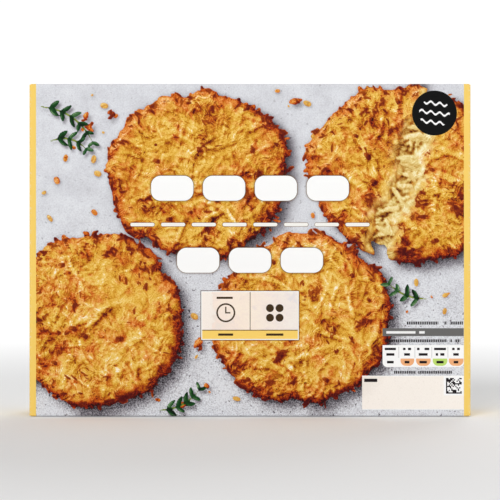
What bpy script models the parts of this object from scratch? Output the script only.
"""Shut folding carton for four chilled potato rosti, standing on its long bottom edge.

Frame: +Z up, the printed front faces -Y, +X is to the right of a person facing the front.
The origin is at the middle of the carton's footprint. All lengths are in metres.

The carton is a wrap of one board blank (front, bottom, back and top panels) with a glue seam along the
back's lower edge. Each short end is shut by dust flaps, an inner flap hinged on the back
and an outer flap hinged on the front, glued down. It is filled and shut, so it is one solid.
"""
import math

import bmesh
import bpy
from mathutils import Vector

# ---- driving dimensions -------------------------------------------------------------------------
WIDTH = 0.2300            # across the outer end flaps
HEIGHT = 0.1733           # bottom crease to top crease
DEPTH = 0.0350            # over the crowned front and back panels
BOARD = 0.00045           # thickness of the folding boxboard
CROWN = 0.0006            # how far the front and back panels bow out at their middle
CREASE_RADIUS = 0.0009    # outside radius of a folded crease
FLAP_SHORT_Z = 0.0004     # the end flaps stop this far short of the top and bottom creases
FLAP_SHORT_Y = 0.0011     # their free edges stop this far short of the far crease
SEAM_LIFT = 0.0010        # the back panel's free edge sits this far above the bottom crease
ARC_STEPS = 5             # facets round each quarter of a crease
CROWN_CELLS_X = 14        # cells of the crowned panels, across
CROWN_CELLS_Z = 10        # and up

CREASE_DEPTH = DEPTH - 2.0 * CROWN          # front crease to back crease
BODY_HALF = WIDTH / 2 - 2 * BOARD           # ends of the top and bottom panels, under the flaps
INNER_HALF = WIDTH / 2 - BOARD              # outer face of the inner end flaps
OUTER_HALF = WIDTH / 2                      # outer face of the outer end flaps

BOARD_COLOUR = (0.94, 0.66, 0.16, 1.0)      # the yellow ink that covers most of what isn't picture


def clear_scene():
    for ob in list(bpy.data.objects):
        bpy.data.objects.remove(ob, do_unlink=True)


def arc(cx, cy, radius, start_deg, end_deg, steps):
    """Points of a quarter round from start to end, both ends included."""
    points = []
    for i in range(steps + 1):
        a = math.radians(start_deg + (end_deg - start_deg) * i / steps)
        points.append((cx + radius * math.cos(a), cy + radius * math.sin(a)))
    return points


def wrap_section():
    """The wrap's outline in (y, z), anticlockwise seen along -X: four creases, and the glue seam's step."""
    half = CREASE_DEPTH / 2
    r = CREASE_RADIUS
    outline = []
    outline += arc(-half + r, r, r, 270, 180, ARC_STEPS)[::-1]               # front bottom crease
    tuck = half - BOARD                                                      # outer face of the tucked glue flap
    outline += arc(tuck - r, r, r, 270, 360, ARC_STEPS)[:]                   # back bottom crease
    outline += [(tuck, r + SEAM_LIFT), (half, r + SEAM_LIFT)]                # the back panel's raw lower edge
    outline += arc(half - r, HEIGHT - r, r, 0, 90, ARC_STEPS)                # back top crease
    outline += arc(-half + r, HEIGHT - r, r, 90, 180, ARC_STEPS)             # front top crease
    # the first arc ran from the front face down to the bottom face, so the ring is closed already
    return outline


def prism(name, outline, axis, low, high):
    """A closed prism: outline in the other two axes, extruded from low to high along axis ('X' or 'Z')."""
    bm = bmesh.new()
    if axis == "X":
        ring = [bm.verts.new((low, a, b)) for a, b in outline]
        step = Vector((high - low, 0, 0))
    else:
        ring = [bm.verts.new((a, b, low)) for a, b in outline]
        step = Vector((0, 0, high - low))
    face = bm.faces.new(ring)
    grown = bmesh.ops.extrude_face_region(bm, geom=[face])
    bmesh.ops.translate(bm, vec=step, verts=[g for g in grown["geom"] if isinstance(g, bmesh.types.BMVert)])
    bmesh.ops.recalc_face_normals(bm, faces=bm.faces[:])
    mesh = bpy.data.meshes.new(name)
    bm.to_mesh(mesh)
    bm.free()
    ob = bpy.data.objects.new(name, mesh)
    bpy.context.scene.collection.objects.link(ob)
    return ob


def flap_sleeve(name, half_x, hinge_side):
    """A panel and the two end flaps hinged on it, as a prism in Z; hinge_side -1 is the front, +1 the back."""
    half_y = CREASE_DEPTH / 2
    free = half_y - FLAP_SHORT_Y
    r = CREASE_RADIUS
    outline = []
    outline += arc(-half_x + r, -half_y + r, r, 180, 270, ARC_STEPS)
    outline += arc(half_x - r, -half_y + r, r, 270, 360, ARC_STEPS)
    outline += [(half_x, free), (-half_x, free)]
    if hinge_side > 0:
        outline = [(x, -y) for x, y in outline][::-1]
    return prism(name, outline, "Z", FLAP_SHORT_Z, HEIGHT - FLAP_SHORT_Z)


def unite(target, tools):
    """Exact Boolean union of tools into target, baked into target's mesh; the tools are removed."""
    for tool in tools:
        mod = target.modifiers.new("join_" + tool.name, "BOOLEAN")
        mod.operation = "UNION"
        mod.solver = "EXACT"
        mod.object = tool
    bpy.context.view_layer.update()
    evaluated = target.evaluated_get(bpy.context.evaluated_depsgraph_get())
    joined = bpy.data.meshes.new_from_object(evaluated)
    target.modifiers.clear()
    target.data = joined
    for tool in tools:
        bpy.data.objects.remove(tool, do_unlink=True)


def crown_panels(mesh):
    """Bows the front and back panels outwards a little; the creases, the ends and the bottom stay put."""
    bm = bmesh.new()
    bm.from_mesh(mesh)
    bmesh.ops.remove_doubles(bm, verts=bm.verts[:], dist=1e-6)
    bmesh.ops.dissolve_limit(bm, angle_limit=math.radians(0.5), verts=bm.verts[:], edges=bm.edges[:])
    r = CREASE_RADIUS
    spread_x = BODY_HALF - r
    low, high = r + SEAM_LIFT, HEIGHT - r
    cuts = []
    for i in range(CROWN_CELLS_X + 1):
        s = -1 + 2 * i / CROWN_CELLS_X
        cuts.append((Vector((spread_x * math.sin(s * math.pi / 2), 0, 0)), Vector((1, 0, 0))))
    for i in range(CROWN_CELLS_Z + 1):
        s = -1 + 2 * i / CROWN_CELLS_Z
        z = (low + high) / 2 + (high - low) / 2 * math.sin(s * math.pi / 2)
        cuts.append((Vector((0, 0, z)), Vector((0, 0, 1))))
    half = CREASE_DEPTH / 2
    for point, normal in cuts:
        wide = [f for f in bm.faces if all(abs(abs(v.co.y) - half) < 1e-6 for v in f.verts)]
        geom = wide + list({e for f in wide for e in f.edges}) + list({v for f in wide for v in f.verts})
        bmesh.ops.bisect_plane(bm, geom=geom, dist=1e-7, plane_co=point, plane_no=normal)
    for v in bm.verts:
        if abs(abs(v.co.y) - half) > 1e-6:
            continue
        a = v.co.x / spread_x
        b = (2 * v.co.z - low - high) / (high - low)
        if abs(a) < 1 and abs(b) < 1:
            bow = CROWN * (1 - a * a) ** 0.8 * (1 - b * b) ** 0.8
            v.co.y += math.copysign(bow, v.co.y)
    bmesh.ops.triangulate(bm, faces=bm.faces[:])
    bmesh.ops.recalc_face_normals(bm, faces=bm.faces[:])
    bm.to_mesh(mesh)
    bm.free()
    mesh.update()


def board_material():
    mat = bpy.data.materials.new("printed_carton_board")
    mat.use_nodes = True
    shader = mat.node_tree.nodes["Principled BSDF"]
    shader.inputs["Base Color"].default_value = BOARD_COLOUR
    shader.inputs["Roughness"].default_value = 0.4
    shader.inputs["Metallic"].default_value = 0.0
    mat.diffuse_color = BOARD_COLOUR
    return mat


def main():
    clear_scene()
    carton = prism("carton", wrap_section(), "X", -BODY_HALF, BODY_HALF)
    inner = flap_sleeve("inner_flaps", INNER_HALF, +1)
    outer = flap_sleeve("outer_flaps", OUTER_HALF, -1)
    unite(carton, [inner, outer])
    crown_panels(carton.data)
    carton.data.materials.clear()
    carton.data.materials.append(board_material())
    carton.data.set_sharp_from_angle(angle=math.radians(25))


main()
